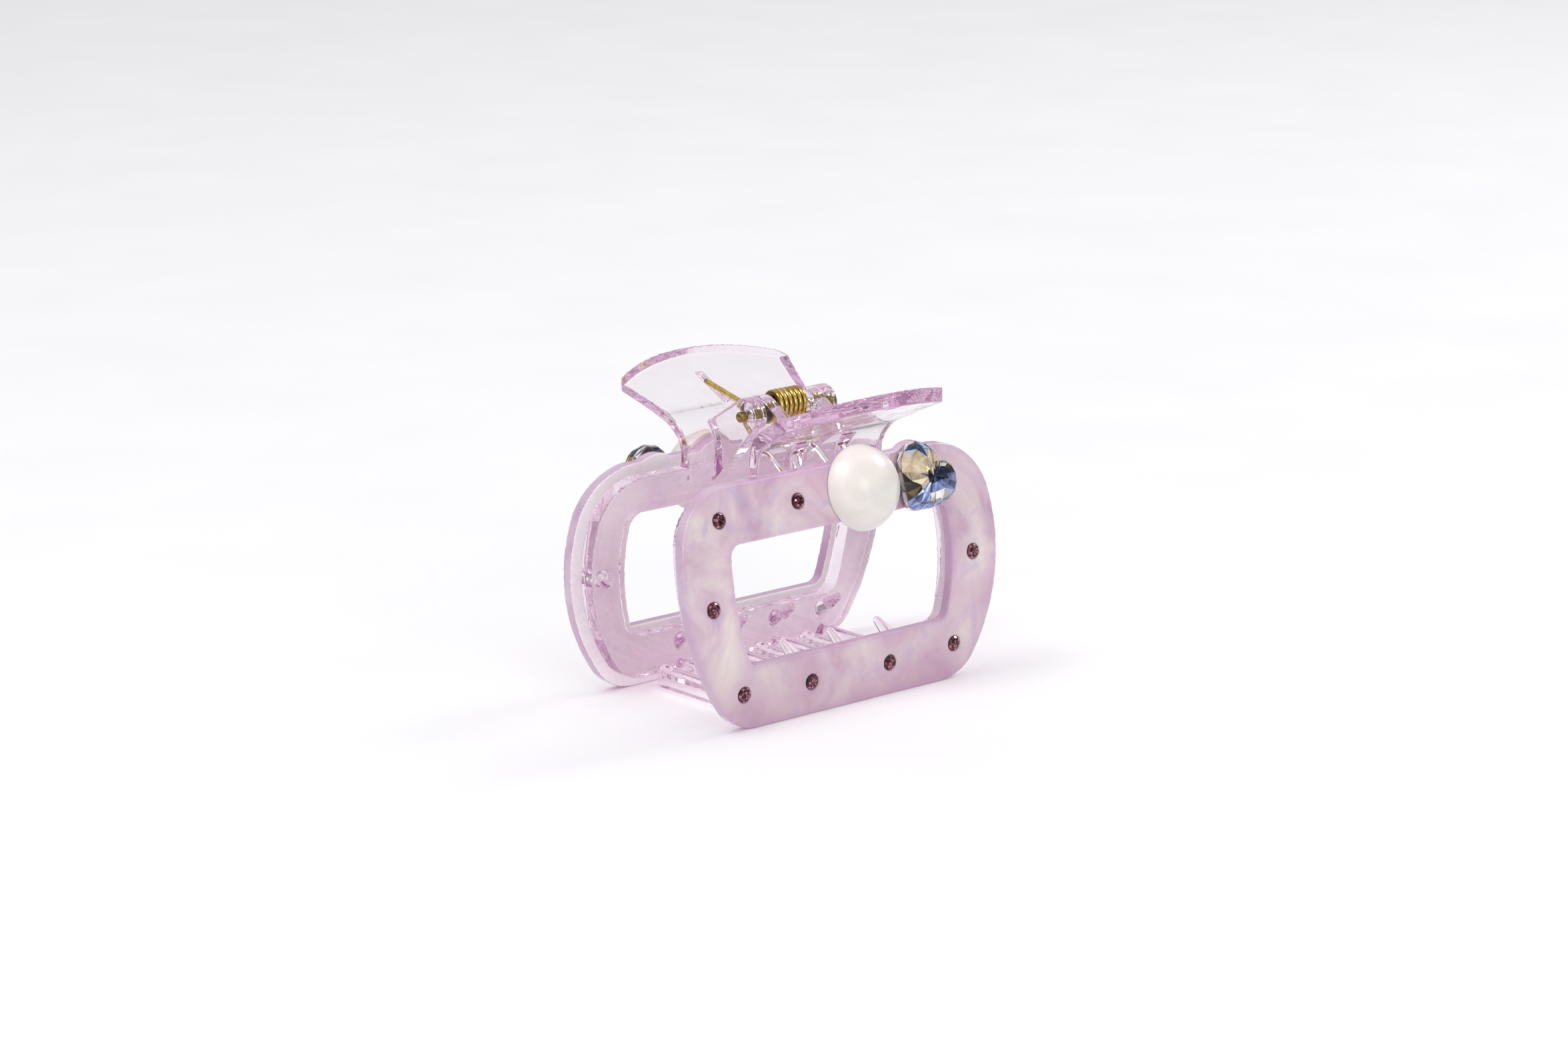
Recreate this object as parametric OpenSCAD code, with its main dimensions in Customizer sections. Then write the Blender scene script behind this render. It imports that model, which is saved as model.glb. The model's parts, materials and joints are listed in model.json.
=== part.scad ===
// Spring claw clip for hair.
// Two clear mouldings, the jaws, turn on one brass pin and are closed by a torsion spring.
// Each jaw carries a bowed pearlescent face plate with a window, eight small rhinestones,
// a half pearl and a heart crystal. One rhinestone of the rear plate is missing.
// X runs along the hinge pin, Y from the front jaw (-Y) to the rear jaw (+Y), Z up.
// The closed clip stands on the bottom edges of its two face plates, at Z = 0.
// Every module is drawn for the rear jaw; the front jaw is the same shape turned half
// round the Z axis, with its hinge ears inside the rear jaw's.

/* [Face plates] */
// Height of a face plate
plate_h = 33; // [30:0.5:36]
// Width of a face plate at its widest point
plate_w = 56.2; // [54:0.2:60]
// Thickness of a face plate
plate_t = 1.7; // [1.4:0.1:2]
// Radius of the bowed left and right sides
side_r = 30.6; // [29:0.2:36]
// Height of the widest point above the floor
side_z = 20.3; // [18:0.1:22]
// Radius of the top corners
top_corner_r = 9; // [7:0.5:10]
// Radius of the bottom corners
bottom_corner_r = 7.5; // [6:0.5:9]
// Radius of the bow seen from the side
bow_r = 103; // [90:1:120]
// Height at which the bowed plates stand furthest apart
bow_z = 4; // [3:0.5:6]
// Distance from the middle of the clip to the outer face at that height
bow_y = 14.45; // [14:0.05:15]

/* [Windows] */
// Bottom of the window in a face plate
window_bottom = 8.7; // [8:0.1:10]
// Top of the window in a face plate
window_top = 25.2; // [24:0.1:26]
// Half width of the window at its widest point
window_half_w = 19.6; // [18:0.1:20]
// Radius of the bowed sides of the window
window_side_r = 35.7; // [34:0.1:40]
// Radius of the window's corners
window_corner_r = 1.8; // [1.2:0.1:3]

/* [Jaw frames] */
// Thickness of the clear frame behind a face plate
frame_t = 2.5; // [2.2:0.1:2.8]
// How far the frame's outline stays inside the plate's
frame_inset = 1.7; // [1.2:0.1:2]
// How much wider the frame's window is than the plate's, on each side
frame_window_step = 0.9; // [0.5:0.1:1.1]

/* [Levers] */
// Thickness of the neck and the thumb lever
lever_t = 1.9; // [1.7:0.1:2.1]
// Half width of the neck
neck_half_w = 11.3; // [10.5:0.1:12]
// Half width of the thumb lever
lever_half_w = 15; // [14:0.1:15.2]
// Radius of the flare between neck and lever, seen from the front
flare_r = 12.5; // [12:0.1:14]
// Distance from the middle of the clip to the inner face of the neck
neck_y = 6.35; // [6.3:0.05:6.5]
// Radius of the bend between neck and lever, on the face towards the pin
bend_r = 7.1; // [6.8:0.1:7.4]
// Height at which the bend starts
bend_z = 33; // [32.5:0.1:33.2]
// Slope of the lever, in degrees
lever_slope = 26; // [24:0.5:28]
// Distance from the middle of the clip to the lever's tip
lever_reach = 21; // [20:0.1:22]
// Radius of the curved tip
tip_r = 30; // [26:1:40]
// Radius of the tip's corners
tip_corner_r = 2.6; // [2:0.1:3.5]

/* [Hinge] */
// Height of the pin
pin_z = 39; // [38.8:0.1:39.2]
// Diameter of the pin
pin_d = 1.5; // [1.4:0.1:1.6]
// Length of the pin
pin_l = 17; // [16:0.2:19]
// Offset of the hinge, the spring and the teeth along X from the middle of the face plates
hinge_shift = 0.8; // [0:0.2:1]
// Radial clearance of the pin in the front jaw's ears
pin_clearance = 0.05; // [0.02:0.01:0.08]
// Radius of the knuckles round the pin
knuckle_r = 2.5; // [2.3:0.1:2.7]
// Width of one ear
ear_w = 2.15; // [1.9:0.05:2.3]
// Half of the gap that the spring sits in
spring_half_gap = 3.05; // [3.05:0.05:3.3]
// Gap between neighbouring ears
ear_gap = 0.1; // [0.08:0.01:0.2]
// Slope of the ears' upper edges, in degrees
ear_top_slope = 31; // [28:1:33]
// Slope of the ears' lower edges, in degrees
ear_bottom_slope = 45; // [43:1:47]

/* [Spring] */
// Diameter of the spring wire
wire_d = 0.8; // [0.7:0.05:0.8]
// Mean radius of the coil
coil_r = 1.9; // [1.8:0.05:2]
// Number of full turns
coil_turns = 6; // [5:1:6]
// Distance from one turn to the next
coil_pitch = 0.83; // [0.82:0.01:0.85]
// How far the legs reach from the middle of the clip
leg_reach = 14.2; // [13.5:0.1:14.5]
// Height of the ends of the legs
leg_z = 41.05; // [41:0.05:41.2]

/* [Teeth] */
// Distance from one tooth of a jaw to the next
tooth_pitch = 8.66; // [8.4:0.02:8.8]
// Number of teeth on each jaw
tooth_count = 4; // [3:1:4]
// Width of a tooth
tooth_w = 1.8; // [1.6:0.1:2]
// Underside of the teeth above the floor
tooth_z = 0.3; // [0.2:0.1:0.6]
// Height of a tooth
tooth_h = 3.2; // [3:0.1:3.4]
// How far a tooth reaches past the middle of the clip
tooth_reach = 9.6; // [8:0.1:9.8]
// Radius of a grip spike at its foot
spike_foot_r = 1.5; // [1.2:0.1:1.6]
// Radius of a grip spike's rounded tip
spike_tip_r = 0.6; // [0.5:0.05:0.7]

/* [Decoration] */
// Diameter of the half pearls
pearl_d = 12; // [11:0.5:12]
// Height of the half pearls
pearl_h = 5; // [4.5:0.1:5.5]
// Width of the heart crystals
heart_w = 10.7; // [10:0.1:10.8]
// Height of the heart crystals above the plate
heart_h = 3.8; // [3.2:0.1:4.2]
// Tilt of the heart crystals, in degrees to the right
heart_tilt = 42; // [35:1:50]
// How far the hearts' outline is filled out towards a circle at the notch
notch_fullness = 0.3; // [0.1:0.05:0.5]
// How far the hearts' outline is filled out towards a circle at the point
point_fullness = 0.55; // [0.3:0.05:0.6]
// Diameter of the rhinestones
stone_d = 2.1; // [1.9:0.1:2.2]

/* [Hidden] */
$fn = 96;

// Centre of the bow, seen along X
bow_cy = bow_y - bow_r;
// Centres of the bowed sides of the plate and of its window
side_cx = plate_w / 2 - side_r;
window_cx = window_half_w - window_side_r;
// Centre of the bend between neck and lever, seen along X
bend_cy = neck_y + bend_r;
// Places on the plate, as [right, up] seen from outside
pearl_at = [4.7, 29.2];
heart_at = [15.25, 29];
stones_at = [
    [-20.6, 28.8], [-6.7, 29.2], [-23.5, 17.4], [-19.1, 5],
    [-7.1, 4.5], [7.1, 4.5], [19.1, 5], [23.5, 17.4]
];
// The rear plate has an empty hole in place of this rhinestone
missing_stone = 7;
// Lobes of the plate that carry the pearl and the heart past its upper edge
pearl_lobe_r = 5.2;
heart_lobe_r = 4.8;
// Depth of the flat seats for the pearl and the heart
seat_depth = 0.2;
// A rhinestone's girdle lies in the plate's outer face, its cone in a drilled pocket
stone_crown_h = 0.35;
stone_girdle_h = 0.15;
stone_cone_h = 0.6;
pocket_r = stone_d / 2 + 0.03;
pocket_depth = stone_girdle_h + stone_cone_h;
// First tooth's distance from the hinge's middle, so that the two jaws' teeth interleave
first_tooth = 1.75 * tooth_pitch;
// Coil axis: the coil hangs on the pin's underside
wire_clearance = 0.05;
coil_z = pin_z - pin_d / 2 + coil_r - wire_d / 2 - wire_clearance;
// The spring's legs leave the coil this far from the hinge's middle
leg_x = coil_pitch * (coil_turns + 0.07) / 2;
// Rounds are set this far outwards, so that they cross the faces they join cleanly
hair = 0.02;
// Room that is larger than any part
far = 80;

// Extrudes a shape drawn in [X, Z] along Y
module along_y(length) {
    rotate([90, 0, 0]) linear_extrude(length, center = true) children();
}

// Extrudes a shape drawn in [Y, Z] along X
module along_x(length) {
    rotate([90, 0, 90]) linear_extrude(length, center = true) children();
}

// Turns a rear-jaw shape into the front jaw's
module to_front() {
    rotate([0, 0, 180]) children();
}

// Waste outside a round of radius r between a level edge at height z and the bowed side
// of radius sr round [scx, scz]; up is 1 at a top edge and -1 at a bottom edge
module corner_waste(r, z, sr, scx, scz, up) {
    cz = z - up * r;
    cx = scx + sqrt(pow(sr - r, 2) - pow(cz - scz, 2));
    a = atan2(cz - scz, cx - scx);
    reach = r + 4;
    for (side = [0, 1]) mirror([side, 0])
        translate([cx + hair, cz + up * hair])
            difference() {
                polygon([
                    [0, 0], [0, up * reach], [reach, up * reach],
                    reach * 1.6 * [cos(a), sin(a)]
                ]);
                circle(r);
            }
}

// Level top and bottom, bowed sides and round corners, in [X, Z]
module bowed_outline(z0, z1, sr, scx, scz, r0, r1) {
    difference() {
        intersection() {
            translate([scx, scz]) circle(sr);
            translate([-scx, scz]) circle(sr);
            translate([-far / 2, z0]) square([far, z1 - z0]);
        }
        corner_waste(r1, z1, sr, scx, scz, 1);
        corner_waste(r0, z0, sr, scx, scz, -1);
    }
}

module plate_outline(inset) {
    bowed_outline(
        inset, plate_h - inset, side_r - inset, side_cx, side_z,
        bottom_corner_r - inset, top_corner_r - inset
    );
}

module window_outline(grow) {
    bowed_outline(
        window_bottom - grow, window_top + grow, window_side_r + grow, window_cx, side_z,
        window_corner_r + grow / 2, window_corner_r + grow / 2
    );
}

// Bowed sheet on the rear jaw's side, between two radii round the bow's centre
module bowed_sheet(outer, inner) {
    along_x(far)
        intersection() {
            translate([bow_cy, bow_z]) difference() {
                circle(outer, $fn = 360);
                circle(inner, $fn = 360);
            }
            translate([0, -1]) square([30, 50]);
        }
}

// Puts a shape on the rear plate's outer face, sunk by a depth, its +Z outwards and its
// +X to the right seen from outside
module on_face(at, sunk) {
    a = asin((at[1] - bow_z) / bow_r);
    translate([-at[0], bow_cy, bow_z]) rotate([a, 0, 0])
        translate([0, bow_r - sunk, 0]) rotate([-90, 180, 0]) children();
}

// Outline of a full heart of a given width, its notch towards +Y
function heart_points(w, steps = 36) = [
    for (i = [0:steps - 1])
        let (
            t = 360 * i / steps,
            fullness = notch_fullness + (point_fullness - notch_fullness) * (1 - cos(t)) / 2,
            disc = 16 * [sin(t), cos(t)],
            heart = [
                16 * pow(sin(t), 3),
                13 * cos(t) - 5 * cos(2 * t) - 2 * cos(3 * t) - cos(4 * t)
            ]
        )
        w / 32 * (heart + fullness * (disc - heart))
];

module face_plate(empty) {
    difference() {
        intersection() {
            bowed_sheet(bow_r, bow_r - plate_t);
            along_y(far) difference() {
                union() {
                    plate_outline(0);
                    translate([-pearl_at[0], pearl_at[1]]) circle(pearl_lobe_r);
                    translate([-heart_at[0], heart_at[1]]) circle(heart_lobe_r);
                }
                window_outline(0);
            }
        }
        on_face(pearl_at, seat_depth) cylinder(d = pearl_d + 0.1, h = 4);
        on_face(heart_at, seat_depth) cylinder(d = heart_w * 1.06, h = 4);
        for (i = [0:len(stones_at) - 1])
            on_face(stones_at[i], i == empty ? 2 * plate_t : pocket_depth)
                cylinder(r = pocket_r, h = 4 * plate_t);
    }
}

module pearl() {
    ball_r = (pow(pearl_d / 2, 2) + pow(pearl_h, 2)) / (2 * pearl_h);
    on_face(pearl_at, seat_depth)
        intersection() {
            translate([0, 0, pearl_h - ball_r]) sphere(ball_r);
            cylinder(d = pearl_d, h = pearl_h + 1);
        }
}

// Cut stone: each level is [height, scale of the heart's outline]
module heart_crystal() {
    outline = heart_points(heart_w);
    n = len(outline);
    levels = [
        [0, 0.84], [0.26 * heart_h, 1], [0.5 * heart_h, 1], [0.78 * heart_h, 0.86],
        [heart_h, 0.58]
    ];
    top = len(levels) - 1;
    rings = [for (level = levels) for (p = outline) [p[0] * level[1], p[1] * level[1], level[0]]];
    floor_centre = len(rings);
    table_centre = floor_centre + 1;
    sides = [
        for (k = [0:top - 1]) for (i = [0:n - 1])
            let (j = (i + 1) % n)
            [k * n + i, k * n + j, (k + 1) * n + j, (k + 1) * n + i]
    ];
    floor = [for (i = [0:n - 1]) [floor_centre, (i + 1) % n, i]];
    table = [for (i = [0:n - 1]) [table_centre, top * n + i, top * n + (i + 1) % n]];
    on_face(heart_at, seat_depth) rotate(-heart_tilt)
        polyhedron(
            concat(rings, [[0, 0, 0], [0, 0, heart_h]]),
            concat(sides, floor, table), convexity = 4
        );
}

module rhinestone(at) {
    on_face(at, pocket_depth) {
        cylinder(r1 = 0.3 * stone_d / 2, r2 = stone_d / 2, h = stone_cone_h);
        translate([0, 0, stone_cone_h]) cylinder(d = stone_d, h = stone_girdle_h);
        translate([0, 0, pocket_depth])
            cylinder(r1 = stone_d / 2, r2 = 0.6 * stone_d / 2, h = stone_crown_h);
    }
}

// Everything beyond the neck's and under the lever's face that bends with radius r, seen
// along X
module under_bend(r) {
    centre = [bend_cy, bend_z];
    along = [cos(lever_slope), sin(lever_slope)];
    normal = [-sin(lever_slope), cos(lever_slope)];
    corner = centre + r * (normal - along * (1 - sin(lever_slope)) / cos(lever_slope));
    outwards = (corner - centre) / norm(corner - centre);
    difference() {
        polygon([corner, [corner[0], 0], [far, 0], corner + far * along]);
        difference() {
            polygon([centre, centre - [2 * r, 0], centre + 2 * r * outwards, centre + 2 * r * normal]);
            translate(centre + hair * outwards) circle(r);
        }
    }
}

// Neck, bend and thumb lever, seen along X
module lever_profile() {
    difference() {
        under_bend(bend_r);
        under_bend(bend_r - lever_t);
        translate([0, -far + bend_z - 3.5]) square(far);
    }
}

// Neck and flare, seen from the front
module lever_front() {
    difference() {
        translate([-lever_half_w, bend_z - 6]) square([2 * lever_half_w, 30]);
        for (side = [0, 1]) mirror([side, 0]) {
            translate([neck_half_w, bend_z - 7]) square([10, 7]);
            translate([neck_half_w + flare_r - hair, bend_z]) circle(flare_r);
        }
    }
}

// Curved tip with round corners, seen from above
module lever_plan() {
    cy = lever_reach - tip_r;
    fx = lever_half_w - tip_corner_r;
    fy = cy + sqrt(pow(tip_r - tip_corner_r, 2) - fx * fx);
    a = atan2(fy - cy, fx);
    difference() {
        intersection() {
            translate([-lever_half_w, 0]) square([2 * lever_half_w, 2 * lever_reach]);
            translate([0, cy]) circle(tip_r);
        }
        for (side = [0, 1]) mirror([side, 0]) translate([fx + hair, fy + hair])
            difference() {
                polygon([[0, 0], [8, 0], [8, 8], 8 * [cos(a), sin(a)]]);
                circle(tip_corner_r);
            }
    }
}

// Groove in the lever's inner face for the end of a spring leg
module leg_groove(x) {
    depth = 0.75;
    width = wire_d + 0.25;
    translate([x - width / 2, bend_cy, bend_z]) rotate([lever_slope, 0, 0])
        translate([0, -1, bend_r - depth]) cube([width, 7, 2 * depth]);
}

// One hinge ear, seen along X: the knuckle and the web down to neck and frame
module ear_profile() {
    top = knuckle_r * [sin(ear_top_slope), cos(ear_top_slope)];
    bottom = -knuckle_r * [sin(ear_bottom_slope), cos(ear_bottom_slope)];
    web_top_y = 8.2;
    web_foot_y = 7.9;
    translate([0, pin_z]) {
        circle(knuckle_r);
        polygon([
            [0, 0], top,
            [web_top_y, top[1] - (web_top_y - top[0]) * tan(ear_top_slope)],
            [web_foot_y, bottom[1] - (web_foot_y - bottom[0]) * tan(ear_bottom_slope)],
            bottom
        ]);
    }
}

// A pair of ears round X = middle, each inner face gap from it
module ears(middle, gap) {
    for (side = [-1, 1]) translate([middle + side * (gap + ear_w / 2), 0, 0])
        along_x(ear_w) ear_profile();
}

// Round-nosed tooth from the frame across the clip, and the grip spike above it
module tooth(x) {
    r = tooth_w / 2;
    nose_y = r - tooth_reach;
    foot_y = bow_y - plate_t - frame_t / 2;
    body_h = tooth_h - r;
    translate([x, 0, tooth_z]) {
        translate([-r, nose_y, 0]) cube([tooth_w, foot_y - nose_y, body_h]);
        translate([0, foot_y, body_h]) rotate([90, 0, 0]) cylinder(r = r, h = foot_y - nose_y);
        translate([0, nose_y, 0]) cylinder(r = r, h = body_h);
        translate([0, nose_y, body_h]) sphere(r);
    }
    spike(x);
}

module spike(x) {
    foot = [x, 11.2, 5.1];
    tip = [x, 6.6, 8.2];
    run = tip - foot;
    lean = atan2(-run[1], run[2]);
    translate(foot) rotate([lean, 0, 0]) {
        cylinder(r1 = spike_foot_r, r2 = spike_tip_r, h = norm(run));
        translate([0, 0, norm(run)]) sphere(spike_tip_r);
    }
}

// The whole clear moulding, with its hinge and teeth laid out from X = middle
module jaw(middle, half_gap, pin_hole_r) {
    difference() {
        union() {
            intersection() {
                bowed_sheet(bow_r - plate_t, bow_r - plate_t - frame_t);
                along_y(far) difference() {
                    plate_outline(frame_inset);
                    window_outline(frame_window_step);
                }
            }
            intersection() {
                along_x(far) lever_profile();
                along_y(far) lever_front();
                linear_extrude(far) lever_plan();
            }
            ears(middle, half_gap);
            for (i = [0:tooth_count - 1]) tooth(middle + first_tooth - i * tooth_pitch);
        }
        leg_groove(middle - leg_x);
        translate([0, 0, pin_z]) rotate([0, 90, 0])
            cylinder(r = pin_hole_r, h = far, center = true);
    }
}

module rear_jaw() {
    color("thistle", 0.6)
        difference() {
            jaw(hinge_shift, spring_half_gap + ear_w + ear_gap, pin_d / 2);
            on_face(stones_at[missing_stone], 2 * frame_t + plate_t)
                cylinder(r = pocket_r, h = 3 * frame_t);
        }
}

module front_jaw() {
    color("thistle", 0.6)
        to_front() jaw(-hinge_shift, spring_half_gap, pin_d / 2 + pin_clearance);
}

module hinge_pin() {
    nose = 0.3;
    color("darkgoldenrod") translate([hinge_shift, 0, pin_z]) rotate([0, 90, 0]) {
        cylinder(d = pin_d, h = pin_l - 2 * nose, center = true);
        for (end = [0, 1]) mirror([0, 0, end]) translate([0, 0, pin_l / 2 - nose])
            cylinder(r1 = pin_d / 2, r2 = pin_d / 2 - nose, h = nose);
    }
}

// Wire of the torsion spring: rear leg, helix round the pin, front leg
function spring_path() =
    let (
        away = atan2(leg_z - coil_z, leg_reach),
        touch = acos(coil_r / norm([leg_reach, leg_z - coil_z])),
        start = away - touch,
        turn = 360 * coil_turns + 180 + 2 * start,
        steps = 20 * coil_turns
    )
    concat(
        [[-leg_x, leg_reach, leg_z]],
        [
            for (i = [0:steps])
                let (a = start - turn * i / steps)
                [
                    -leg_x + 2 * leg_x * i / steps,
                    coil_r * cos(a),
                    coil_z + coil_r * sin(a)
                ]
        ],
        [[leg_x, -leg_reach, leg_z]]
    );

// Round bar of diameter d swept along a path that never runs along X
module swept_wire(path, d, sides = 8) {
    n = len(path);
    points = [
        for (i = [0:n - 1])
            let (
                ahead = path[min(i + 1, n - 1)] - path[max(i - 1, 0)],
                t = ahead / norm(ahead),
                across = cross(t, [1, 0, 0]),
                u = across / norm(across),
                v = cross(u, t)
            )
            for (k = [0:sides - 1])
                path[i] + d / 2 * (cos(360 * k / sides) * u + sin(360 * k / sides) * v)
    ];
    skin = [
        for (i = [0:n - 2]) for (k = [0:sides - 1])
            let (l = (k + 1) % sides)
            [i * sides + k, i * sides + l, (i + 1) * sides + l, (i + 1) * sides + k]
    ];
    start_cap = [for (k = [sides - 1:-1:0]) k];
    end_cap = [for (k = [0:sides - 1]) (n - 1) * sides + k];
    polyhedron(points, concat(skin, [start_cap, end_cap]), convexity = 10);
}

module torsion_spring() {
    color("goldenrod") translate([hinge_shift, 0, 0]) swept_wire(spring_path(), wire_d);
}

module rear_face_plate() {
    color("plum") face_plate(missing_stone);
}

module front_face_plate() {
    color("plum") to_front() face_plate(-1);
}

module rear_pearl() {
    color("ivory") pearl();
}

module front_pearl() {
    color("ivory") to_front() pearl();
}

module rear_heart_crystal() {
    color("steelblue") heart_crystal();
}

module front_heart_crystal() {
    color("steelblue") to_front() heart_crystal();
}

module rear_rhinestone(i) {
    color("maroon") rhinestone(stones_at[i - 1]);
}

module front_rhinestone(i) {
    color("maroon") to_front() rhinestone(stones_at[i - 1]);
}

rear_jaw();
front_jaw();
rear_face_plate();
front_face_plate();
hinge_pin();
torsion_spring();
rear_pearl();
front_pearl();
rear_heart_crystal();
front_heart_crystal();
front_rhinestone(1);  // front_rhinestone_1
front_rhinestone(2);  // front_rhinestone_2
front_rhinestone(3);  // front_rhinestone_3
front_rhinestone(4);  // front_rhinestone_4
front_rhinestone(5);  // front_rhinestone_5
front_rhinestone(6);  // front_rhinestone_6
front_rhinestone(7);  // front_rhinestone_7
front_rhinestone(8);  // front_rhinestone_8
rear_rhinestone(1);  // rear_rhinestone_1
rear_rhinestone(2);  // rear_rhinestone_2
rear_rhinestone(3);  // rear_rhinestone_3
rear_rhinestone(4);  // rear_rhinestone_4
rear_rhinestone(5);  // rear_rhinestone_5
rear_rhinestone(6);  // rear_rhinestone_6
rear_rhinestone(7);  // rear_rhinestone_7
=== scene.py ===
import json
import math

import bmesh
import bpy
import numpy as np
from mathutils import Matrix, Vector, kdtree


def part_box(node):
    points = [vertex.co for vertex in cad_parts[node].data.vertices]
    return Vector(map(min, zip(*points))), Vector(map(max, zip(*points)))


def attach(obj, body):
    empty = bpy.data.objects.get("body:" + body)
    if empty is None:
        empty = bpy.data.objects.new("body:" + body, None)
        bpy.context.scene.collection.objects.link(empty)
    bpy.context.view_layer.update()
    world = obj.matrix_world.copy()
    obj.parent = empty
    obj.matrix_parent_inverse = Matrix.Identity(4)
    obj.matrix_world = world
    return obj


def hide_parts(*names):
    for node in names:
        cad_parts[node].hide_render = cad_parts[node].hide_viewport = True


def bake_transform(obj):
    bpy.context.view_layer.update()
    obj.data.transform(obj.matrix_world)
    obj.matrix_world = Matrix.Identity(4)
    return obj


# The looks of a clear plastic claw clip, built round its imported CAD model.
# Metres, +Z up, X along the hinge pin, the front jaw at -Y. Sizes in millimetres are
# written as a number times MM.

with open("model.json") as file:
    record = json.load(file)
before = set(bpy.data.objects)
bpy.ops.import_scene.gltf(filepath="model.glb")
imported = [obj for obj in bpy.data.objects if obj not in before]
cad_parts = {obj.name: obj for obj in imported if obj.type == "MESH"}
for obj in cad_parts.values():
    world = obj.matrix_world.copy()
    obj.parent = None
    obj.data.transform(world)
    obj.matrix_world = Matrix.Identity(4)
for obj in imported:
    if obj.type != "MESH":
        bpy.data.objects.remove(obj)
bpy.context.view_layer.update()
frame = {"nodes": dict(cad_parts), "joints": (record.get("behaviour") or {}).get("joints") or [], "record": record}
MM = 0.001
BODY_OF = {
    node: body
    for body, nodes in frame["record"]["behaviour"]["bodies"].items()
    for node in nodes
}
PIN_Z = frame["joints"][0]["pos_m"][2]


# ---------------------------------------------------------------- helpers

def rgb(code):
    """Linear colour of an sRGB hex code."""
    parts = [int(code[i:i + 2], 16) / 255 for i in (0, 2, 4)]
    linear = [c / 12.92 if c <= 0.04045 else ((c + 0.055) / 1.055) ** 2.4 for c in parts]
    return (*linear, 1.0)


def add_object(name, mesh, material, smooth=True):
    obj = bpy.data.objects.new(name, mesh)
    bpy.context.scene.collection.objects.link(obj)
    mesh.materials.clear()
    mesh.materials.append(material)
    mesh.polygons.foreach_set("use_smooth", [smooth] * len(mesh.polygons))
    mesh.update()
    return obj


def stand_for(obj, node):
    """obj is shown in place of a CAD node and moves with the node's body."""
    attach(obj, BODY_OF[node])
    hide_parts(node)
    return obj


def mesh_from(name, points, faces):
    mesh = bpy.data.meshes.new(name)
    mesh.from_pydata([tuple(p) for p in points], [], faces)
    mesh.validate()
    mesh.update()
    return mesh


def point_attribute(mesh, name, values):
    mesh.attributes.new(name, "FLOAT", "POINT").data.foreach_set(
        "value", np.asarray(values, np.float32))


def vertex_array(mesh):
    co = np.zeros(len(mesh.vertices) * 3, np.float32)
    mesh.vertices.foreach_get("co", co)
    return co.reshape(-1, 3).astype(float)


def cad_points(node):
    """The CAD node's distinct vertices."""
    return np.unique(np.round(vertex_array(frame["nodes"][node].data), 7), axis=0)


def moulded(node, voxel, rounds, inset, keep):
    """The CAD node's shape with the soft edges and fillets of a moulding, as a new mesh."""
    work = bpy.data.objects.new(node + "_work", frame["nodes"][node].data.copy())
    bpy.context.scene.collection.objects.link(work)
    bm = bmesh.new()
    bm.from_mesh(work.data)
    bmesh.ops.remove_doubles(bm, verts=bm.verts, dist=1e-7)
    bm.to_mesh(work.data)
    bm.free()
    skin = work.modifiers.new("skin", "REMESH")
    skin.mode = "VOXEL"
    skin.voxel_size = voxel
    soften = work.modifiers.new("soften", "SMOOTH")
    soften.factor = 0.5
    soften.iterations = rounds
    slim = work.modifiers.new("slim", "DISPLACE")
    slim.strength = -inset
    slim.mid_level = 0
    thin = work.modifiers.new("thin", "DECIMATE")
    thin.ratio = keep
    shape = work.evaluated_get(bpy.context.evaluated_depsgraph_get())
    mesh = bpy.data.meshes.new_from_object(shape)
    mesh.name = node + "_moulded"
    bpy.data.objects.remove(work)
    return mesh


def lathe(name, profile, segments, ripple=None):
    """Mesh turned about Z from [radius, height] pairs; ripple(angle, height) scales a radius."""
    points, faces = [], []
    rings = []
    for r, h in profile:
        if r < 1e-9:
            rings.append([len(points)])
            points.append((0, 0, h))
            continue
        rings.append(list(range(len(points), len(points) + segments)))
        for k in range(segments):
            a = 2 * math.pi * k / segments
            s = ripple(a, h) if ripple else 1
            points.append((r * s * math.cos(a), r * s * math.sin(a), h))
    for low, high in zip(rings, rings[1:]):
        for k in range(segments):
            j = (k + 1) % segments
            if len(low) == 1:
                faces.append((low[0], high[j], high[k]))
            elif len(high) == 1:
                faces.append((low[k], low[j], high[0]))
            else:
                faces.append((low[k], low[j], high[j], high[k]))
    return mesh_from(name, points, faces)


# ---------------------------------------------------------------- materials

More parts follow.
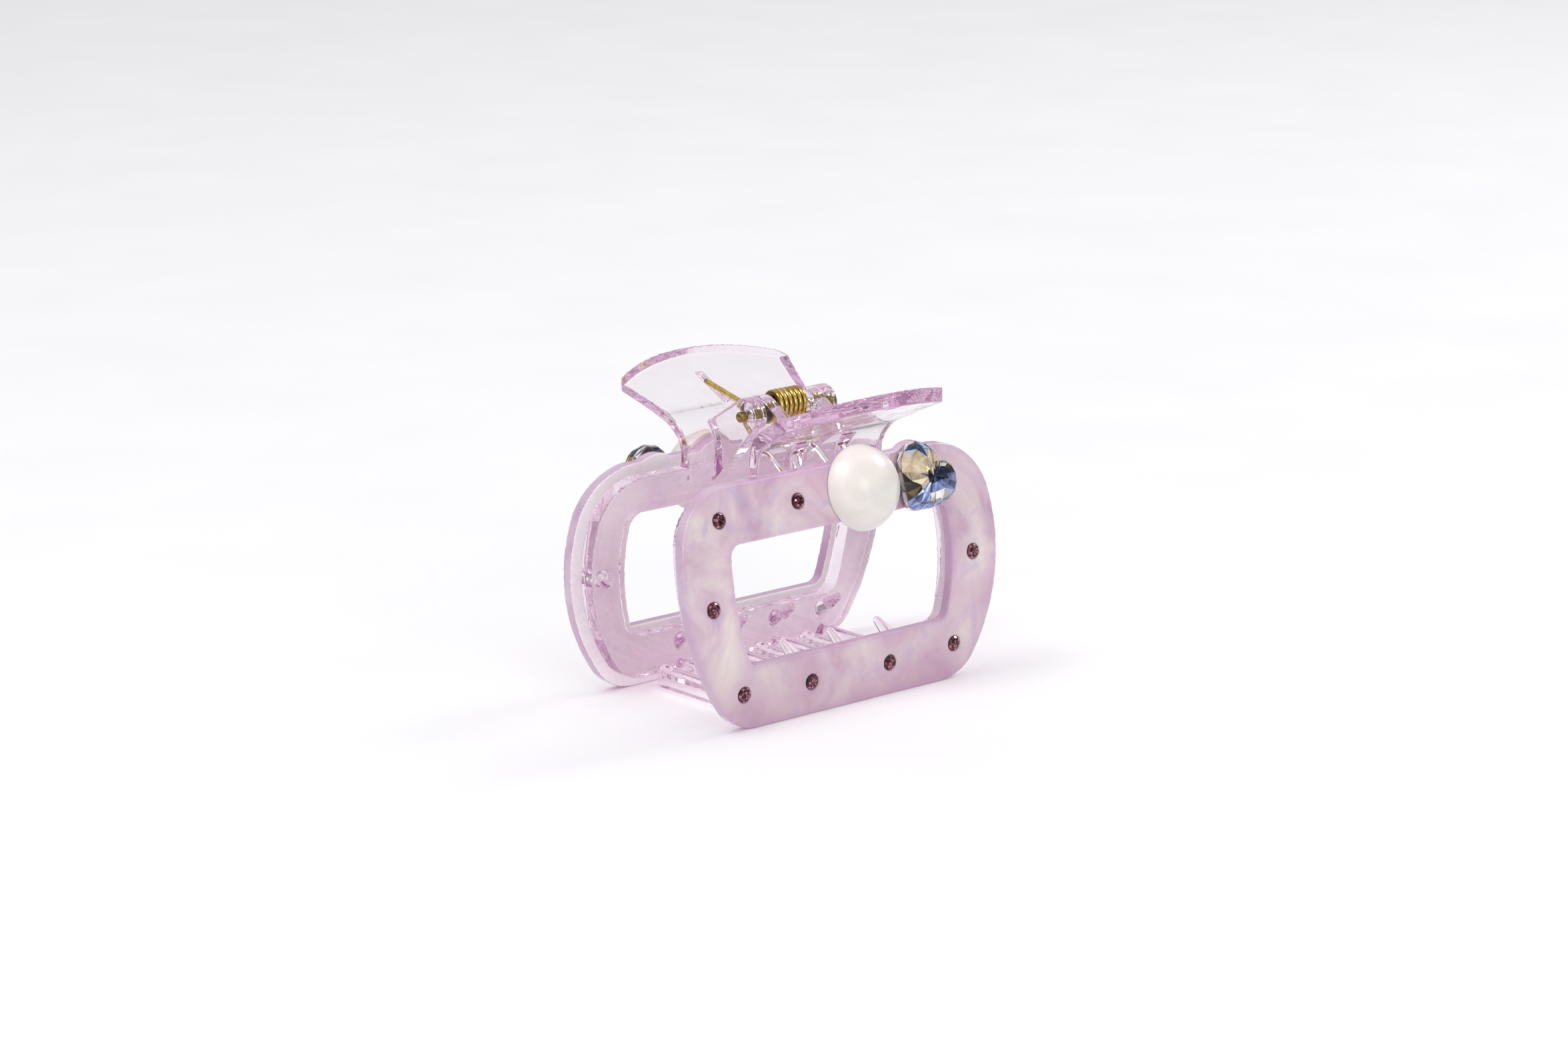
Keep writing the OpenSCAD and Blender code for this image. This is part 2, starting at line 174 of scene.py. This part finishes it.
class Nodes:
    """Short names for the nodes of one material."""

    def __init__(self, name):
        self.material = bpy.data.materials.new(name)
        self.material.use_nodes = True
        self.tree = self.material.node_tree
        self.tree.nodes.clear()
        self.output = self.make("ShaderNodeOutputMaterial")
        self.place = self.make("ShaderNodeTexCoord").outputs["Object"]

    def make(self, kind, **settings):
        node = self.tree.nodes.new(kind)
        for key, value in settings.items():
            setattr(node, key, value)
        return node

    def link(self, source, target):
        self.tree.links.new(source, target)

    def shader(self, **values):
        node = self.make("ShaderNodeBsdfPrincipled")
        for key, value in values.items():
            node.inputs[key.replace("_", " ")].default_value = value
        self.link(node.outputs[0], self.output.inputs["Surface"])
        return node

    def noise(self, scale, detail=3.0, roughness=0.5, distortion=0.0, place=None):
        node = self.make("ShaderNodeTexNoise")
        node.inputs["Scale"].default_value = scale
        node.inputs["Detail"].default_value = detail
        node.inputs["Roughness"].default_value = roughness
        node.inputs["Distortion"].default_value = distortion
        self.link(place or self.place, node.inputs["Vector"])
        return node.outputs["Fac"]

    def stretched(self, scale):
        node = self.make("ShaderNodeMapping")
        node.inputs["Scale"].default_value = scale
        self.link(self.place, node.inputs["Vector"])
        return node.outputs[0]

    def ramp(self, source, stops):
        node = self.make("ShaderNodeValToRGB")
        ends = node.color_ramp.elements
        for k, (at, colour) in enumerate(stops):
            stop = ends[k] if k < 2 else ends.new(at)
            stop.position = at
            stop.color = colour
        self.link(source, node.inputs[0])
        return node.outputs[0]

    def remap(self, source, low, high, out_low, out_high):
        node = self.make("ShaderNodeMapRange")
        for key, value in zip(("From Min", "From Max", "To Min", "To Max"),
                              (low, high, out_low, out_high)):
            node.inputs[key].default_value = value
        self.link(source, node.inputs["Value"])
        return node.outputs[0]

    def mix(self, factor, a, b):
        node = self.make("ShaderNodeMix", data_type="RGBA")
        for key, value in ((0, factor), (6, a), (7, b)):
            if isinstance(value, (int, float, tuple)):
                node.inputs[key].default_value = value
            else:
                self.link(value, node.inputs[key])
        return node.outputs[2]

    def attribute(self, name, part="Fac"):
        return self.make("ShaderNodeAttribute", attribute_name=name).outputs[part]

    def bump(self, height, distance, strength, target):
        node = self.make("ShaderNodeBump")
        node.inputs["Distance"].default_value = distance
        node.inputs["Strength"].default_value = strength
        self.link(height, node.inputs["Height"])
        self.link(node.outputs[0], target.inputs["Normal"])

    def absorb(self):
        """Lilac colour of the clear plastic, deeper where light runs a long way through it."""
        depth = self.make("ShaderNodeVolumeAbsorption")
        depth.inputs["Color"].default_value = (0.62, 0.12, 0.52, 1)
        depth.inputs["Density"].default_value = 27
        self.link(depth.outputs[0], self.output.inputs["Volume"])

    def let_light_through(self, shader, tint):
        """Shadows under a clear piece are tinted, not black."""
        clear = self.make("ShaderNodeBsdfTransparent")
        clear.inputs[0].default_value = tint
        either = self.make("ShaderNodeMixShader")
        rays = self.make("ShaderNodeLightPath")
        self.link(rays.outputs["Is Shadow Ray"], either.inputs[0])
        self.link(shader.outputs[0], either.inputs[1])
        self.link(clear.outputs[0], either.inputs[2])
        self.link(either.outputs[0], self.output.inputs["Surface"])


def clear_plastic():
    """Polished lilac styrene: flow waves, a few scuffs, deeper colour through its thickness."""
    m = Nodes("clear_lilac_plastic")
    s = m.shader(IOR=1.45, Transmission_Weight=1.0, Specular_IOR_Level=0.5)
    cloud = m.noise(140, 2, 0.5, 0.6)
    m.link(m.ramp(cloud, [(0.3, rgb("FBF9FA")), (0.75, rgb("F7F4F5"))]), s.inputs["Base Color"])
    scuffs = m.noise(900, 4, 0.65, 1.5)
    m.link(m.remap(scuffs, 0.55, 0.8, 0.01, 0.12), s.inputs["Roughness"])
    waves = m.noise(260, 2, 0.4, 0.8)
    m.bump(waves, 0.12 * MM, 0.4, s)
    m.absorb()
    m.let_light_through(s, rgb("FCF9FB"))
    return m.material


def pearlescent_plastic():
    """Clouded mother-of-pearl sheet: lavender, cream and bluish drifts, lilac at its edges."""
    m = Nodes("pearlescent_plastic")
    s = m.shader(IOR=1.45, Coat_Weight=0.9, Coat_Roughness=0.03, Transmission_Weight=0.0,
                 Subsurface_Weight=0.3, Subsurface_Scale=0.0012)
    s.inputs["Subsurface Radius"].default_value = (1.0, 0.75, 0.9)
    drift = m.noise(75, 4, 0.55, 1.2)
    base = m.ramp(drift, [(0.30, rgb("BE9AB8")), (0.43, rgb("D0B2C2")),
                          (0.55, rgb("DECAD1")), (0.70, rgb("EAE0DA"))])
    patch = m.noise(130, 3, 0.5, 2.0)
    blue = m.remap(patch, 0.54, 0.72, 0.0, 0.5)
    base = m.mix(blue, base, rgb("B6AAD2"))
    warm = m.noise(48, 2, 0.5, 0.8)
    base = m.mix(m.remap(warm, 0.48, 0.68, 0.0, 0.6), base, rgb("CAA4BC"))
    # Painted shade: the plate is darker and pinker towards its bottom edge, standing in for the floor's shade
    # reflected on it
    up = m.make("ShaderNodeSeparateXYZ")
    m.link(m.place, up.inputs[0])
    low = m.remap(up.outputs["Z"], 0.0, 13 * MM, 0.55, 0.0)
    base = m.mix(low, base, rgb("B48AA4"))
    rim = m.remap(m.attribute("rim"), 0.2, 1.0, 0.0, 0.55)
    base = m.mix(rim, base, rgb("BE98BE"))
    m.link(base, s.inputs["Base Color"])
    wear = m.noise(1500, 5, 0.7, 0.4)
    m.link(m.remap(wear, 0.5, 0.85, 0.2, 0.36), s.inputs["Roughness"])
    m.bump(m.noise(420, 3, 0.5, 0.6), 0.05 * MM, 0.4, s)
    m.let_light_through(s, rgb("D2BCCA"))
    return m.material


def plate_backing():
    """Milky pink inner side of a face plate, seen through the clear frame."""
    m = Nodes("plate_backing")
    s = m.shader(IOR=1.45, Subsurface_Weight=0.2, Subsurface_Scale=0.001, Coat_Weight=0.3,
                 Coat_Roughness=0.05)
    drift = m.noise(90, 3, 0.5, 1.0)
    base = m.ramp(drift, [(0.3, rgb("F4E8F2")), (0.5, rgb("FAF3F7")), (0.75, rgb("FDF9F8"))])
    m.link(base, s.inputs["Base Color"])
    grain = m.noise(700, 3, 0.6)
    m.link(m.remap(grain, 0.4, 0.8, 0.25, 0.45), s.inputs["Roughness"])
    m.bump(grain, 0.02 * MM, 0.3, s)
    m.let_light_through(s, rgb("E6DEE4"))
    return m.material


def pearl_coating():
    m = Nodes("pearl")
    s = m.shader(IOR=1.55, Coat_Weight=0.7, Coat_Roughness=0.22,
                 Subsurface_Weight=0.15, Subsurface_Scale=0.002, Sheen_Weight=0.15,
                 Sheen_Roughness=0.4)
    soft = m.noise(160, 2, 0.5, 0.5)
    base = m.ramp(soft, [(0.3, rgb("DED9D1")), (0.55, rgb("E9E5DF")), (0.8, rgb("E3DCD1"))])
    specks = m.noise(5200, 1, 0.5)
    base = m.mix(m.remap(specks, 0.74, 0.8, 0.0, 0.25), base, rgb("A89C94"))
    m.link(base, s.inputs["Base Color"])
    grain = m.noise(9000, 2, 0.6)
    m.link(m.remap(grain, 0.3, 0.7, 0.3, 0.42), s.inputs["Roughness"])
    m.bump(grain, 0.01 * MM, 0.25, s)
    return m.material


def brass(name, groove_scale, tones, dirt):
    m = Nodes(name)
    s = m.shader(Metallic=1.0, IOR=1.5)
    tone = m.noise(700, 4, 0.6, 0.8)
    base = m.ramp(tone, [(0.3 + 0.2 * k, rgb(code)) for k, code in enumerate(tones)])
    tarnish = m.noise(2600, 4, 0.65)
    base = m.mix(m.remap(tarnish, 0.6, 0.8, 0.0, dirt), base, rgb("5A4626"))
    # Painted shade: the wire is darkened where coil turns face each other, standing in for the shade between the
    # turns
    base = m.mix(m.remap(m.attribute("painted_turn_shade"), 0.3, 0.95, 0.0, 0.9), base, rgb("2E2112"))
    m.link(base, s.inputs["Base Color"])
    drawn = m.noise(groove_scale, 3, 0.6, place=m.stretched((0.25, 1.0, 1.0)))
    m.link(m.remap(drawn, 0.3, 0.75, 0.12, 0.28), s.inputs["Roughness"])
    m.bump(drawn, 0.006 * MM, 0.4, s)
    return m.material


def cut_glass(name, tint):
    """Clear crown of a cut stone."""
    m = Nodes(name)
    s = m.shader(IOR=1.36, Transmission_Weight=1.0)
    veil = m.noise(1800, 2, 0.5)
    m.link(m.ramp(veil, [(0.35, rgb(tint)), (0.8, rgb("FFFFFF"))]), s.inputs["Base Color"])
    m.link(m.remap(m.noise(4200, 3, 0.6), 0.55, 0.85, 0.0, 0.05), s.inputs["Roughness"])
    m.let_light_through(s, rgb("D8D2DA"))
    return m.material


def foil(name, roughness, glare):
    """Mirror backing of a cut stone, one colour to a facet."""
    m = Nodes(name)
    s = m.shader(Metallic=1.0, IOR=1.5, Coat_Weight=glare, Coat_Roughness=0.02)
    tone = m.attribute("facet", "Color")
    mottle = m.noise(2600, 3, 0.6)
    m.link(m.mix(m.remap(mottle, 0.35, 0.8, 0.0, 0.1), tone, rgb("F2EBE6")), s.inputs["Base Color"])
    m.link(m.remap(mottle, 0.35, 0.8, roughness, roughness + 0.12), s.inputs["Roughness"])
    return m.material


CLEAR = clear_plastic()
PEARLESCENT = pearlescent_plastic()
BACKING = plate_backing()
PEARL = pearl_coating()
SPRING_BRASS = brass("spring_brass", 5200, ("A8863C", "C9A95E", "DDC585"), 0.4)
PIN_BRASS = brass("pin_brass", 6500, ("6E5A34", "97804E", "BDA877"), 0.7)
CRYSTAL = cut_glass("crystal_glass", "F4F1F6")
CRYSTAL_FOIL = foil("crystal_foil", 0.08, 0.0)
STONE = foil("rhinestone_foil", 0.06, 0.25)


# ---------------------------------------------------------------- clear jaws

def build_jaw(side):
    node = side + "_jaw"
    mesh = moulded(node, voxel=0.17 * MM, rounds=5, inset=0.012 * MM, keep=0.45)
    stand_for(add_object(side + "_clear_moulding", mesh, CLEAR), node)


# ---------------------------------------------------------------- face plates

STONE_POCKET_REACH = 1.7 * MM
RIM_DEPTH = 0.7 * MM


def build_plate(side):
    """A pearlescent skin on a milky sheet, lilac near its outer and window edges."""
    node = side + "_face_plate"
    mesh = moulded(node, voxel=0.15 * MM, rounds=7, inset=0.01 * MM, keep=0.5)
    co = vertex_array(mesh)
    normals = np.array([v.normal for v in mesh.vertices])
    # The edge walls, without those of the pockets for the stones
    wall = np.abs(normals[:, 1]) < 0.6
    for other in frame["nodes"]:
        if other.startswith(side + "_rhinestone"):
            low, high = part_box(other)
            middle = np.array((low + high) / 2)
            wall &= np.linalg.norm(co - middle, axis=1) > STONE_POCKET_REACH
    tree = kdtree.KDTree(int(wall.sum()))
    for k, p in enumerate(co[wall]):
        tree.insert(p, k)
    tree.balance()
    near = np.array([tree.find(p)[2] for p in co])
    point_attribute(mesh, "rim", np.exp(-near / RIM_DEPTH))
    stand_for(add_object(side + "_pearlescent_plate", mesh, PEARLESCENT), node)
    mesh.materials.append(BACKING)
    outwards = 1 if side == "rear" else -1
    for face in mesh.polygons:
        face.material_index = 0 if face.normal.y * outwards > -0.6 else 1


# ---------------------------------------------------------------- pearls

def build_pearl(side):
    """A half pearl on a small straight foot, its axis square to the CAD solid's flat back."""
    node = side + "_pearl"
    co = cad_points(node)
    normal = flat_back_normal(frame["nodes"][node].data)
    reach = co @ normal
    base = reach.min()
    height = reach.max() - base
    back = co[reach < base + 0.01 * MM]
    centre = back.mean(0)
    radius = np.linalg.norm(back - centre, axis=1).max()
    foot = 0.35 * MM
    chamfer = 0.12 * MM
    steps = 28
    ball = (radius ** 2 + (height - foot) ** 2) / (2 * (height - foot))
    profile = [(0, 0), (radius - chamfer, 0), (radius - 0.01 * MM, chamfer)]
    for k in range(steps + 1):
        a = math.asin(min(1, radius / ball)) * (1 - k / steps)
        r = ball * math.sin(a)
        h = height - ball + ball * math.cos(a)
        profile.append((r if k < steps else 0, h))
    mesh = lathe(node + "_turned", profile, 96)
    mesh.transform(place_on(centre, normal))
    stand_for(add_object(side + "_half_pearl", mesh, PEARL), node)


def flat_back_normal(mesh):
    """Outward direction of a flat-backed stone: the reverse of its largest flat face's."""
    sums = {}
    for p in mesh.polygons:
        key = tuple(round(c, 2) for c in p.normal)
        sums[key] = sums.get(key, 0) + p.area
    best = max(sums, key=sums.get)
    total = Vector((0, 0, 0))
    for p in mesh.polygons:
        if (p.normal - Vector(best)).length < 0.02:
            total += p.normal * p.area
    return -np.array(total.normalized())


def place_on(centre, normal):
    """Local +Z to the normal, +Y to the upward direction in the plate's face."""
    z = Vector(normal).normalized()
    x = Vector((0, 0, 1)).cross(z).normalized()
    y = z.cross(x)
    turn = Matrix((x, y, z)).transposed().to_4x4()
    return Matrix.Translation(Vector(centre)) @ turn


# ---------------------------------------------------------------- hearts

HEART_TILT = math.radians(-42)
HEART_WIDTH = 10.7 * MM
NOTCH_FULLNESS = 0.3
POINT_FULLNESS = 0.55
HEART_SIDES = 26


def heart_outline(width, count):
    """A full heart's outline, between a heart and a disc, notch towards +Y."""
    points = []
    for i in range(count):
        t = 2 * math.pi * (i + 0.5) / count
        disc = Vector((16 * math.sin(t), 16 * math.cos(t)))
        heart = Vector((
            16 * math.sin(t) ** 3,
            13 * math.cos(t) - 5 * math.cos(2 * t) - 2 * math.cos(3 * t) - math.cos(4 * t)))
        down = (1 - math.cos(t)) / 2
        fullness = NOTCH_FULLNESS + (POINT_FULLNESS - NOTCH_FULLNESS) * down
        points.append(tuple(width / 32 * heart.lerp(disc, fullness)))
    return points


def heart_rings(outline, levels):
    """Points and faces of nested heart outlines, each level [scale, height]."""
    n = len(outline)
    points = [(x * s, y * s, h) for s, h in levels for x, y in outline]
    faces = []
    for k in range(len(levels) - 1):
        for i in range(n):
            j = (i + 1) % n
            a, b, c, d = k * n + i, k * n + j, (k + 1) * n + j, (k + 1) * n + i
            if (i + k) % 2:
                faces += [(a, d, b), (b, d, c)]
            else:
                faces += [(a, d, c), (a, c, b)]
    return points, faces


def paint_facets(mesh, colour_of):
    layer = mesh.color_attributes.new("facet", "FLOAT_COLOR", "CORNER")
    for p in mesh.polygons:
        tone = colour_of(p.center, p.normal, p.index)
        for loop in p.loop_indices:
            layer.data[loop].color = tone


CHAMPAGNE = ("F4E0BC", "FAEACA", "ECD4A8", "F6E4C2")
BROWN = ("2E261E", "3B3025", "241D18", "6E5A3C")
NAVY = ("1B2A45", "22355A", "16223A", "2C4470")
PERIWINKLE = ("7482B0", "8C99C4", "6675A6", "A3AFD4")
SPARK = ("4FA3E0", "1C2F5C", "CFE4F6", "24407E")
SILVER = ("FFFFFF", "F0EEEE", "B4ACA8", "FFFFFF")


def heart_tones(x, y):
    """Foil colours at a place on the heart, in its widths right and up from the middle."""
    if math.hypot((x - 0.05) / 0.17, (y + 0.26) / 0.08) < 1 or y < -0.40:
        return SILVER
    if y > 0.30:
        return SPARK if y < 0.42 else BROWN
    if y > 0.04 + 0.45 * max(0.0, x + 0.05) and x < 0.22:
        return CHAMPAGNE
    if x > 0.18 and y > 0.04:
        return BROWN
    if abs(x + 0.2) + abs(y + 0.04) < 0.11:
        return CHAMPAGNE
    if x < -0.15 and y > -0.12 + 0.7 * (x + 0.18):
        return BROWN
    if y > -0.10 + 0.25 * max(0.0, x):
        return NAVY
    return PERIWINKLE


def heart_facet_tone(centre, normal, index):
    flat = Matrix.Rotation(HEART_TILT, 3, "Z") @ centre / HEART_WIDTH
    on_rim = normal.z < 0.3
    tones = SILVER if on_rim else heart_tones(flat.x, flat.y)
    return rgb(tones[index * 7 % 4])


def build_heart(side):
    """A clear faceted crown over a foil-backed, many-coloured pavilion."""
    node = side + "_heart_crystal"
    co = cad_points(node)
    normal = flat_back_normal(frame["nodes"][node].data)
    reach = co @ normal
    base, height = reach.min(), reach.max() - reach.min()
    place = place_on((0, 0, 0), normal) @ Matrix.Rotation(HEART_TILT, 4, "Z")
    # The outline is centred on the CAD solid's extents across its own two axes
    cad_sides = 36
    shape = np.array(heart_outline(HEART_WIDTH, cad_sides))
    middle = normal * base
    for k in range(2):
        axis = np.array(place.col[k][:3])
        spread = co @ axis
        middle = middle + axis * (spread.max() + spread.min() - shape[:, k].max()
                                  - shape[:, k].min()) / 2
    place = Matrix.Translation(Vector(middle)) @ place

    outline = heart_outline(HEART_WIDTH, HEART_SIDES)
    crown = [(0.82, 0.02 * height), (0.975, 0.22 * height), (0.985, 0.42 * height),
             (0.92, 0.66 * height), (0.78, 0.86 * height), (0.56, 0.96 * height)]
    points, faces = heart_rings(outline, crown)
    points += [(0, 0, 0.02 * height), (0, 0, 0.99 * height)]
    low, top = len(points) - 2, len(points) - 1
    last = (len(crown) - 1) * HEART_SIDES
    for i in range(HEART_SIDES):
        j = (i + 1) % HEART_SIDES
        faces += [(low, i, j), (top, last + j, last + i)]
    mesh = mesh_from(node + "_crown", points, faces)
    mesh.transform(place)
    stand_for(add_object(side + "_heart_crown", mesh, CRYSTAL, smooth=False), node)

    levels = [(0.97, 0.26 * height), (0.95, 0.48 * height), (0.79, 0.70 * height),
              (0.50, 0.80 * height), (0.22, 0.84 * height)]
    points, faces = heart_rings(outline, levels)
    # Facets tip a little this way and that
    wobble = [math.sin(5.1 * k + 0.7) for k in range(len(points))]
    points = [(x * (1 + 0.03 * w), y * (1 - 0.03 * w), h + 0.03 * height * w)
              for (x, y, h), w in zip(points, wobble)]
    points.append((0, 0, 0.82 * height))
    tip = len(points) - 1
    last = (len(levels) - 1) * HEART_SIDES
    faces += [(tip, last + (i + 1) % HEART_SIDES, last + i) for i in range(HEART_SIDES)]
    mesh = mesh_from(node + "_pavilion", points, faces)
    paint_facets(mesh, heart_facet_tone)
    mesh.transform(place)
    foil_piece = add_object(side + "_heart_foil", mesh, CRYSTAL_FOIL, smooth=False)
    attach(foil_piece, BODY_OF[node])


# ---------------------------------------------------------------- rhinestones

# Foil tones of the stones, one to a facet: the dark burgundies are the stones' colour, the light B87888 facets are
# painted glints
STONE_TONES_AND_GLINTS = ("34101E", "52182C", "84384E", "220812", "B87888")


def build_rhinestone(node):
    """A small cut stone sunk in its pocket, each turned a little differently."""
    co = cad_points(node)
    centre = co.mean(0)
    side = -1 if node.startswith("front") else 1
    # The stone's axis is the principal direction nearest to Y, pointing outwards
    _, _, axes = np.linalg.svd(co - centre)
    normal = max(axes, key=lambda a: abs(a[1]))
    normal = normal * np.sign(normal[1]) * side
    reach = (co - centre) @ normal
    radius = np.linalg.norm(np.cross(co - centre, normal), axis=1).max()
    high = reach.max()
    depth = high - reach.min()
    facets = 8
    profile = [(0, -depth * 0.95), (radius * 0.3, -depth * 0.95), (radius * 0.97, -0.46 * MM),
               (radius * 0.99, -0.34 * MM), (radius * 0.78, -0.10 * MM),
               (radius * 0.52, -0.005 * MM), (0, -0.005 * MM)]
    mesh = lathe(node + "_cut", profile, facets * 2)
    number = int(node.rsplit("_", 1)[1])
    # Facets take burgundy tones and painted glints in turn
    paint_facets(mesh, lambda c, n, i: rgb(STONE_TONES_AND_GLINTS[(i * 3 + number * 2 + i // 5) % 5]))
    place = place_on(centre + normal * high, normal) @ Matrix.Rotation(0.35 * number, 4, "Z")
    mesh.transform(place)
    stand_for(add_object(node + "_cut_stone", mesh, STONE, smooth=False), node)


# ---------------------------------------------------------------- hinge pin

def build_pin():
    """A darkened brass pin with knurled ends."""
    low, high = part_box("hinge_pin")
    length = high.x - low.x
    radius = (high.z - low.z) / 2
    half = length / 2
    knurl_from = half - 2.0 * MM
    knurls = 26

    def ripple(angle, height):
        grip = 0.045 if abs(height) > knurl_from else 0.0
        return 1 - grip * (0.5 + 0.5 * math.cos(knurls * angle))

    profile = [(0, -half), (radius - 0.28 * MM, -half), (radius, -half + 0.28 * MM),
               (radius, -knurl_from - 0.05 * MM), (radius * 0.95, -knurl_from + 0.05 * MM),
               (radius * 0.985, -knurl_from + 0.3 * MM)]
    profile += [(r, -h) for r, h in reversed(profile)]
    mesh = lathe("hinge_pin_turned", profile, knurls * 6, ripple)
    along_x = Matrix.Rotation(math.pi / 2, 4, "Y")
    mesh.transform(Matrix.Translation((low.x + half, 0, PIN_Z)) @ along_x)
    stand_for(add_object("knurled_pin", mesh, PIN_BRASS), "hinge_pin")


# ---------------------------------------------------------------- torsion spring

def build_spring():
    """Close-wound wire round the pin, one leg on each thumb lever."""
    low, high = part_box("torsion_spring")
    wire = 0.39 * MM  # radius, just inside the CAD wire's
    turns = 6
    coil_r = 1.9 * MM
    reach = high.y - wire * 0.3
    leg_z = 41.05 * MM
    middle = (high.x + low.x) / 2
    half = (high.x - low.x) / 2 - 0.4 * MM
    coil_z = low.z + 0.4 * MM + coil_r
    away = math.atan2(leg_z - coil_z, reach)
    touch = math.acos(coil_r / math.hypot(reach, leg_z - coil_z))
    start = away - touch
    turn = 2 * math.pi * turns + math.pi + 2 * start
    steps = 36 * turns
    path = []
    leg_points = 14
    first = Vector((middle - half, coil_r * math.cos(start), coil_z + coil_r * math.sin(start)))
    end = Vector((middle - half, reach, leg_z))
    path += [end.lerp(first, k / leg_points) for k in range(leg_points)]
    for i in range(steps + 1):
        a = start - turn * i / steps
        # The turns lie tight side by side, and the legs leave from the outermost ones
        path.append(Vector((middle - half + 2 * half * i / steps, coil_r * math.cos(a),
                            coil_z + coil_r * math.sin(a))))
    last = path[-1]
    end = Vector((middle + half, -reach, leg_z))
    path += [last.lerp(end, (k + 1) / leg_points) for k in range(leg_points)]
    sides = 14
    # painted_turn_shade marks the wire's sides that face the neighbouring turns, for painted shade between them
    points, faces, painted_turn_shade = [], [], []
    count = len(path)
    for i, p in enumerate(path):
        ahead = (path[min(i + 1, count - 1)] - path[max(i - 1, 0)]).normalized()
        u = ahead.cross(Vector((1, 0, 0))).normalized()
        v = u.cross(ahead)
        r = wire * (0.82 if i in (0, count - 1) else 1)
        for k in range(sides):
            a = 2 * math.pi * k / sides
            points.append(p + r * (math.cos(a) * u + math.sin(a) * v))
            in_coil = leg_points <= i < count - leg_points
            painted_turn_shade.append(abs((points[-1] - p).x / r) ** 3 if in_coil else 0.0)
    for i in range(count - 1):
        for k in range(sides):
            j = (k + 1) % sides
            faces.append((i * sides + k, i * sides + j, (i + 1) * sides + j, (i + 1) * sides + k))
    faces.append(tuple(range(sides - 1, -1, -1)))
    faces.append(tuple((count - 1) * sides + k for k in range(sides)))
    mesh = mesh_from("spring_wire", points, faces)
    point_attribute(mesh, "painted_turn_shade", painted_turn_shade)
    obj = add_object("spring_wire", mesh, SPRING_BRASS)
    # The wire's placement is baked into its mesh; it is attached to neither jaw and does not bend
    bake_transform(obj)
    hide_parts("torsion_spring")


# ---------------------------------------------------------------- floor, light, camera

def build_studio():
    reach = 3
    corners = [(-reach, -reach, 0), (reach, -reach, 0), (reach, reach, 0), (-reach, reach, 0)]
    floor_mesh = mesh_from("floor", corners, [(0, 1, 2, 3)])
    m = Nodes("studio_floor")
    s = m.shader(Roughness=0.6)
    tone = m.noise(30, 2, 0.5)
    m.link(m.ramp(tone, [(0.3, rgb("F7F7F8")), (0.7, rgb("FAFAFA"))]), s.inputs["Base Color"])
    floor = add_object("studio_floor", floor_mesh, m.material)
    floor.location.z = -0.02 * MM

    world = bpy.data.worlds.new("studio")
    bpy.context.scene.world = world
    world.use_nodes = True
    # A bright tent whose walls are darker towards the floor's edge
    nodes, links = world.node_tree.nodes, world.node_tree.links
    back = nodes["Background"]
    direction = nodes.new("ShaderNodeTexCoord")
    split = nodes.new("ShaderNodeSeparateXYZ")
    height = nodes.new("ShaderNodeMapRange")
    height.inputs["From Min"].default_value = 0.08
    height.inputs["From Max"].default_value = 0.5
    height.inputs["To Min"].default_value = 0.27
    height.inputs["To Max"].default_value = 0.80
    links.new(direction.outputs["Generated"], split.inputs[0])
    links.new(split.outputs["Z"], height.inputs["Value"])
    links.new(height.outputs[0], back.inputs["Strength"])
    back.inputs["Color"].default_value = (0.98, 0.98, 1.0, 1)

    def area(name, place, size, power):
        data = bpy.data.lights.new(name, "AREA")
        data.shape = "DISK"
        data.size = size
        data.energy = power
        obj = bpy.data.objects.new(name, data)
        bpy.context.scene.collection.objects.link(obj)
        obj.location = place
        aim = Vector((0, 0, 0.02)) - Vector(place)
        obj.rotation_euler = aim.to_track_quat("-Z", "Y").to_euler()

    area("key", (0.78, -0.05, 0.62), 0.26, 1.7)
    area("overhead", (-0.48, 0.10, 0.82), 0.36, 2.3)
    area("front_fill", (-0.2, -0.85, 0.35), 0.5, 1.65)


def build_camera():
    azimuth = math.radians(40.353)
    elevation = math.radians(14.362)
    roll = math.radians(-0.538)
    distance = 592.55 * MM
    aim = Vector((0, 0, 20 * MM))
    data = bpy.data.cameras.new("camera")
    data.sensor_width = 36
    data.lens = 98.19
    data.shift_x = 0.0011
    data.shift_y = 0.0133
    data.clip_start = 0.01
    forward = Vector((math.sin(azimuth) * math.cos(elevation),
                      math.cos(azimuth) * math.cos(elevation), -math.sin(elevation)))
    right = Vector((math.cos(azimuth), -math.sin(azimuth), 0))
    up = right.cross(forward)
    right, up = (math.cos(roll) * right + math.sin(roll) * up,
                 -math.sin(roll) * right + math.cos(roll) * up)
    camera = bpy.data.objects.new("camera", data)
    bpy.context.scene.collection.objects.link(camera)
    turn = Matrix((right, up, -forward)).transposed().to_4x4()
    camera.matrix_world = Matrix.Translation(aim - forward * distance) @ turn
    bpy.context.scene.camera = camera


for side in ("rear", "front"):
    build_jaw(side)
    build_plate(side)
    build_pearl(side)
    build_heart(side)
for node in sorted(frame["nodes"]):
    if "rhinestone" in node:
        build_rhinestone(node)
build_pin()
build_spring()
build_studio()
build_camera()
bpy.context.scene.view_settings.view_transform = "Standard"
# Light crosses many clear walls here; fewer bounces leave the plastic's edges black
CLEAR_WALLS = 28
bpy.context.scene.cycles.max_bounces = CLEAR_WALLS
bpy.context.scene.cycles.transmission_bounces = CLEAR_WALLS
bpy.context.scene.cycles.glossy_bounces = CLEAR_WALLS
